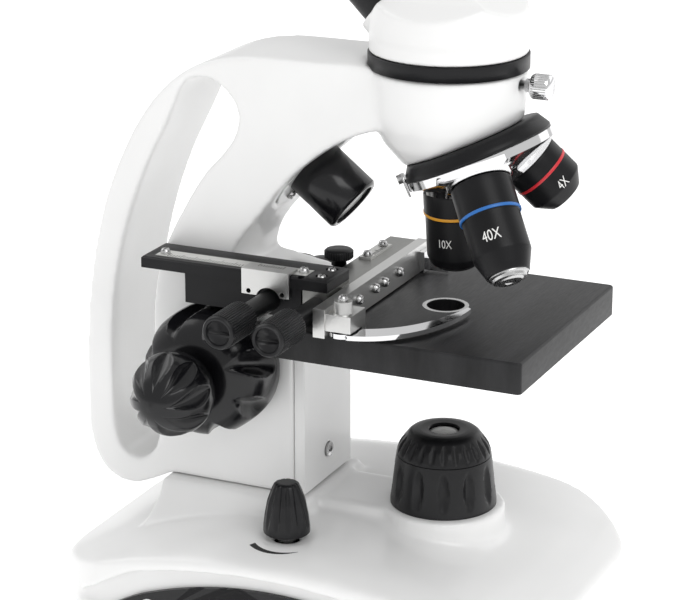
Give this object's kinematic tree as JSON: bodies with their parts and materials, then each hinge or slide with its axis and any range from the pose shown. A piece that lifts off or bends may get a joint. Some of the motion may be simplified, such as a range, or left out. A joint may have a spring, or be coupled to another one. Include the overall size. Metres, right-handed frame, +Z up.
{
  "type": "microscope",
  "caption": "Student compound microscope: carrying-handle arm, geared stage with slide holder, tilted nosepiece with three objectives, inclined eyepiece and two lamps.",
  "frame": {"origin": "centre of the footprint, on the table the rubber feet stand on", "axes": "+Z up; +Y towards the carrying handle, away from the slide; -X towards the slide holder's two knobs"},
  "size_m": [0.15, 0.1858, 0.3015],
  "materials": {
    "white_paint": "satin",
    "black_paint": "satin, fine grain",
    "black_gloss": "gloss",
    "black_matte": "matte",
    "grey_metal": "satin",
    "bare_aluminium": "brushed",
    "chrome": "polished",
    "steel": "machined",
    "brass": "machined",
    "rubber": "matte",
    "glass": "clear",
    "lamp_glass": "frosted",
    "led": "gloss"
  },
  "bodies": {
    "base": {"base_shell": "white_paint", "bottom_plate": "black_matte", "rubber_feet": "rubber", "frame_screws": "steel", "side_panel_left": "black_gloss", "side_panel_right": "black_gloss", "power_jack": "chrome", "battery_box": "black_matte", "dimmer_pot": "steel", "led_modules": "led", "illuminator_body": "black_gloss", "illuminator_ring": "black_gloss", "illuminator_lens": "lamp_glass", "arm": "white_paint", "lamp_housing": "black_gloss", "lamp_lens": "lamp_glass", "lamp_cover": "white_paint", "dovetail_guide": "steel", "focus_bushes": "brass", "nosepiece_mount": "black_paint", "click_spring": "steel"},
    "lamp_switch": {"lamp_switch": "black_matte"},
    "battery_door": {"battery_door": "black_matte"},
    "brightness_knob": {"brightness_knob": "black_matte"},
    "stage": {"stage_carriage": "white_paint", "focus_rack": "brass", "stage_plate": "black_paint", "stage_screws": "steel", "holder_base": "black_paint", "vernier_bracket": "bare_aluminium"},
    "coarse_focus": {"focus_shaft": "steel", "coarse_knob_left": "black_gloss", "coarse_knob_right": "black_gloss"},
    "fine_focus": {"fine_knob_left": "black_gloss", "fine_knob_right": "black_gloss"},
    "disc_diaphragm": {"disc_diaphragm": "black_matte"},
    "holder_clamp_screw": {"holder_clamp_screw": "black_paint"},
    "y_knob": {"y_knob": "black_matte"},
    "cross_slide": {"y_rail": "black_paint", "y_scale": "bare_aluminium", "x_guide": "grey_metal", "x_vernier": "bare_aluminium", "rail_screws": "steel"},
    "x_knob": {"x_knob": "black_matte"},
    "slide_holder": {"x_bar": "bare_aluminium", "finger_block": "bare_aluminium", "slide_jaw": "chrome", "bar_screws": "steel"},
    "spring_finger": {"spring_finger": "chrome"},
    "nosepiece": {"nosepiece_turret": "chrome", "objective_4x": "black_paint", "objective_10x": "black_paint", "objective_40x": "black_paint"},
    "head": {"head_ring": "black_paint", "head_housing": "white_paint", "prism": "glass", "eyepiece_tube": "black_paint"},
    "head_lock_screw": {"head_lock_screw": "chrome"},
    "eyepiece": {"eyepiece": "black_matte", "eyepiece_lenses": "glass"}
  },
  "joints": [
    {"name": "stage_lift", "type": "slide", "parent": "base", "child": "stage", "axis": [0, 0, 1], "range_m": [0, 0.007]},
    {"name": "coarse_turn", "type": "hinge", "parent": "base", "child": "coarse_focus", "pos_m": [0, 0.0362, 0.0918], "axis": [1, 0, 0], "range_deg": [-67, 0]},
    {"name": "fine_turn", "type": "hinge", "parent": "coarse_focus", "child": "fine_focus", "pos_m": [0, 0.0362, 0.0918], "axis": [1, 0, 0], "continuous": true},
    {"name": "switch_rock", "type": "hinge", "parent": "base", "child": "lamp_switch", "pos_m": [-0.0566, -0.037, 0.012], "axis": [0, 0, 1], "range_deg": [-8, 8]},
    {"name": "door_slide", "type": "slide", "parent": "base", "child": "battery_door", "axis": [0, -1, 0], "range_m": [0, 0.01]},
    {"name": "brightness_turn", "type": "hinge", "parent": "base", "child": "brightness_knob", "pos_m": [-0.0405, 0.0036, 0.045], "axis": [0, 0, 1], "range_deg": [-270, 0]},
    {"name": "diaphragm_turn", "type": "hinge", "parent": "stage", "child": "disc_diaphragm", "pos_m": [0, -0.02, 0.103], "axis": [0, 0, 1], "continuous": true},
    {"name": "clamp_turn", "type": "hinge", "parent": "stage", "child": "holder_clamp_screw", "pos_m": [0, 0.0028, 0.12], "axis": [0, 0, 1], "continuous": true},
    {"name": "y_travel", "type": "slide", "parent": "stage", "child": "cross_slide", "axis": [0, 1, 0], "range_m": [-0.012, 0]},
    {"name": "y_knob_turn", "type": "hinge", "parent": "stage", "child": "y_knob", "pos_m": [-0.0285, 0.011, 0.1212], "axis": [1, 0, 0], "range_deg": [0, 197]},
    {"name": "x_travel", "type": "slide", "parent": "cross_slide", "child": "slide_holder", "axis": [1, 0, 0], "range_m": [-0.005, 0.025]},
    {"name": "x_knob_turn", "type": "hinge", "parent": "cross_slide", "child": "x_knob", "pos_m": [-0.0285, -0.0066, 0.1212], "axis": [1, 0, 0], "range_deg": [-150.2, 750.2]},
    {"name": "finger_open", "type": "hinge", "parent": "slide_holder", "child": "spring_finger", "pos_m": [-0.046, -0.02, 0.117], "axis": [0, 0, -1], "range_deg": [0, 25], "stiffness_Nm_per_rad": 0.02},
    {"name": "nosepiece_turn", "type": "hinge", "parent": "base", "child": "nosepiece", "pos_m": [0, -0.037, 0.1928], "axis": [0, -0.4147, -0.91], "continuous": true},
    {"name": "head_turn", "type": "hinge", "parent": "base", "child": "head", "pos_m": [0, -0.037, 0.2], "axis": [0, 0, 1], "continuous": true},
    {"name": "lock_turn", "type": "hinge", "parent": "base", "child": "head_lock_screw", "pos_m": [0, -0.06, 0.1938], "axis": [0, 1, 0], "continuous": true},
    {"name": "eyepiece_pull", "type": "slide", "parent": "head", "child": "eyepiece", "axis": [0, 0.7071, 0.7071], "range_m": [0, 0.02]}
  ],
  "couplings": [
    {"joint": "coarse_turn", "follows": "stage_lift", "rad_per_m": -166.67},
    {"joint": "y_knob_turn", "follows": "y_travel", "rad_per_m": -285.71},
    {"joint": "x_knob_turn", "follows": "x_travel", "rad_per_m": 523.6}
  ]
}
